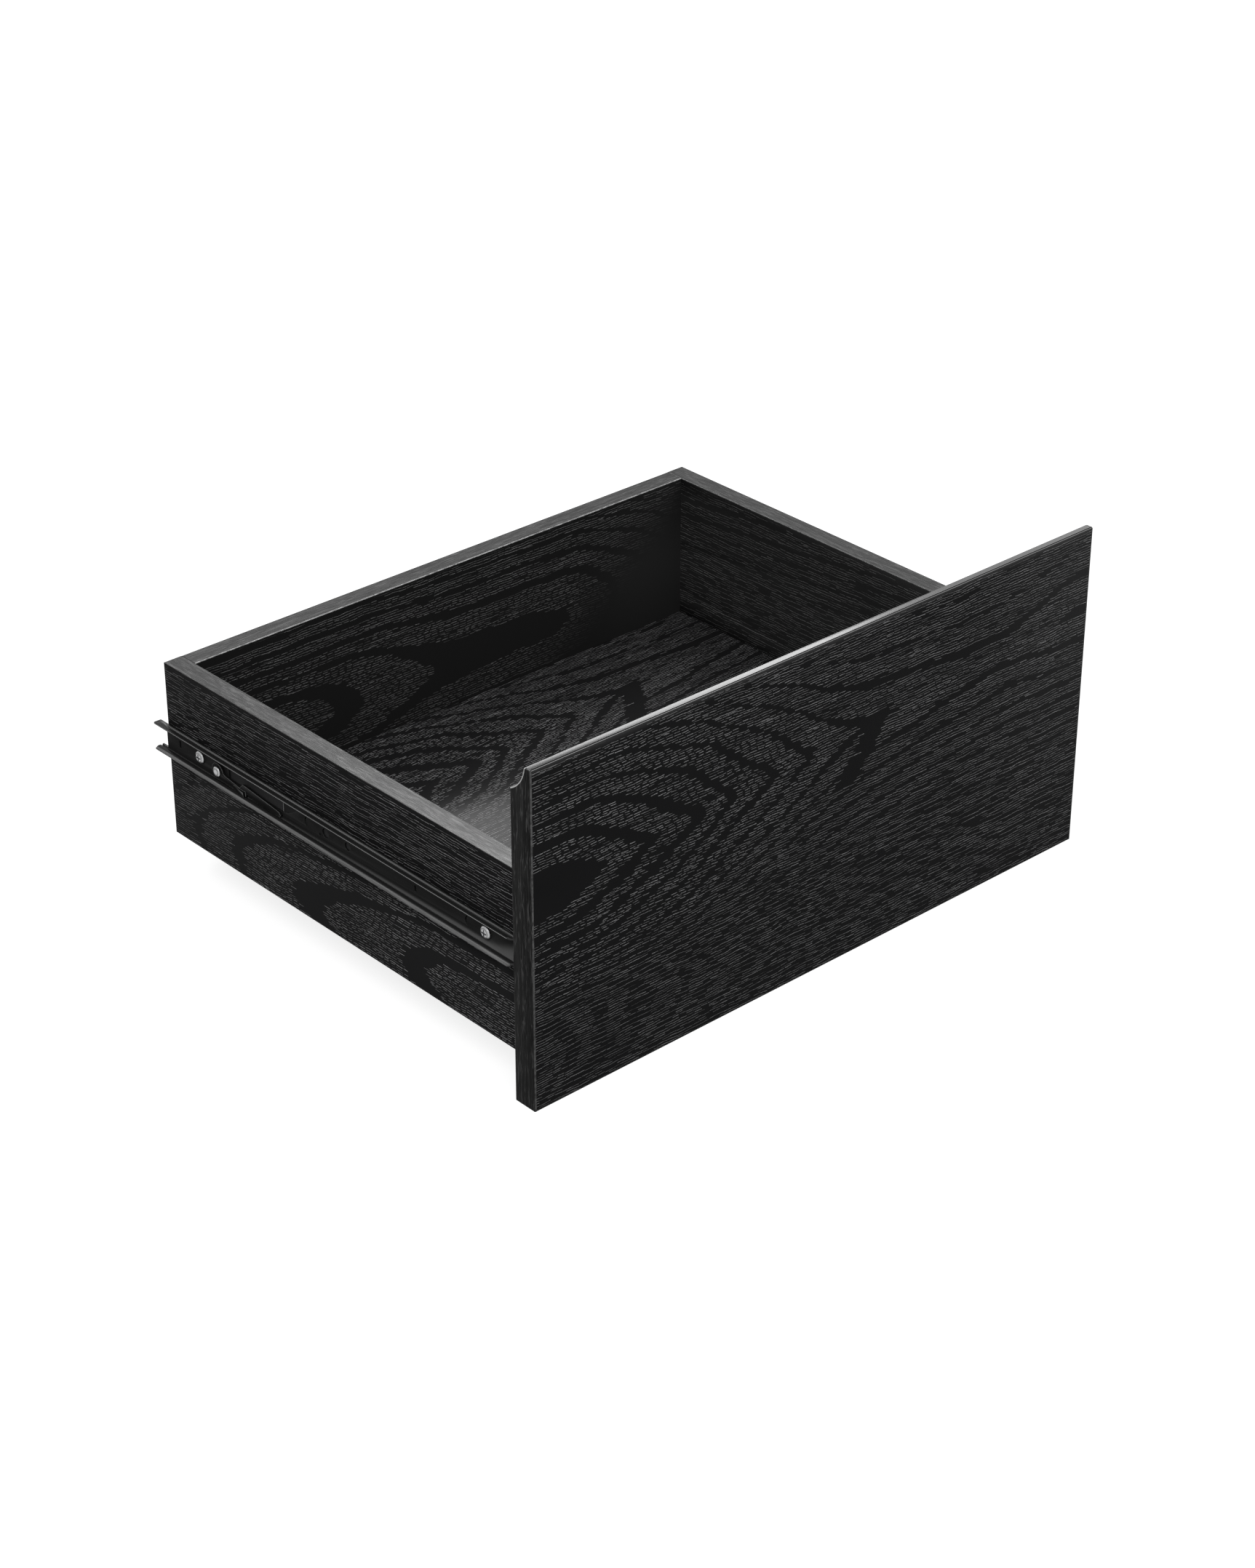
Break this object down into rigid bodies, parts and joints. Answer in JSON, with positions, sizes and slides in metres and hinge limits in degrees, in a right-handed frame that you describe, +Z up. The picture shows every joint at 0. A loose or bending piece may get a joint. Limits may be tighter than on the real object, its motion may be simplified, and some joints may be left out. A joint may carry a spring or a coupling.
{
  "type": "nightstand drawer",
  "caption": "Shallow pull-out drawer with an overlapping slab front scooped behind its top edge, a thin bottom in grooves and a ball-bearing slide member on each side.",
  "frame": {"origin": "under the middle of the whole drawer, level with the bottom edge of its front", "axes": "+X to the right as seen by someone who pulls the drawer, +Y to the back, +Z up"},
  "size_m": [0.4, 0.3204, 0.195],
  "materials": {
    "black_laminate": "black wood-grain laminate on board, satin, with short paler pore strokes",
    "black_edging": "thin black plastic edge band, fine lengthwise streaks, semi-matt",
    "black_slide_steel": "black coated sheet steel, satin",
    "bright_zinc": "bright zinc plate",
    "cam_zinc": "dull die-cast zinc and zinc plated steel",
    "lever_plastic": "moulded black plastic, semi-matt",
    "dowel_beech": "bare beech"
  },
  "bodies": {
    "drawer": {"drawer_front": "black_laminate", "front_end_band_left": "black_edging", "front_end_band_right": "black_edging", "front_bottom_band": "black_edging", "side_left": "black_laminate", "side_right": "black_laminate", "back_board": "black_laminate", "bottom_panel": "black_laminate", "side_top_band_left": "black_edging", "side_top_band_right": "black_edging", "side_rear_band_left": "black_edging", "side_rear_band_right": "black_edging", "back_top_band": "black_edging", "cam_bolts": "cam_zinc", "cam_locks": "cam_zinc", "wooden_dowels": "dowel_beech", "slide_member_left": "black_slide_steel", "slide_member_right": "black_slide_steel", "slide_screws": "bright_zinc", "lever_rivets": "bright_zinc"},
    "lever_left": {"release_lever_left": "lever_plastic"},
    "lever_right": {"release_lever_right": "lever_plastic"}
  },
  "joints": [
    {"name": "left_lever_pivot", "type": "hinge", "parent": "drawer", "child": "lever_left", "pos_m": [-0.1934, 0.10685, 0.0809], "axis": [-1, 0, 0], "range_deg": [0, 10], "stiffness_Nm_per_rad": 0.2},
    {"name": "right_lever_pivot", "type": "hinge", "parent": "drawer", "child": "lever_right", "pos_m": [0.1934, 0.10685, 0.0837], "axis": [1, 0, 0], "range_deg": [0, 10], "stiffness_Nm_per_rad": 0.2}
  ]
}
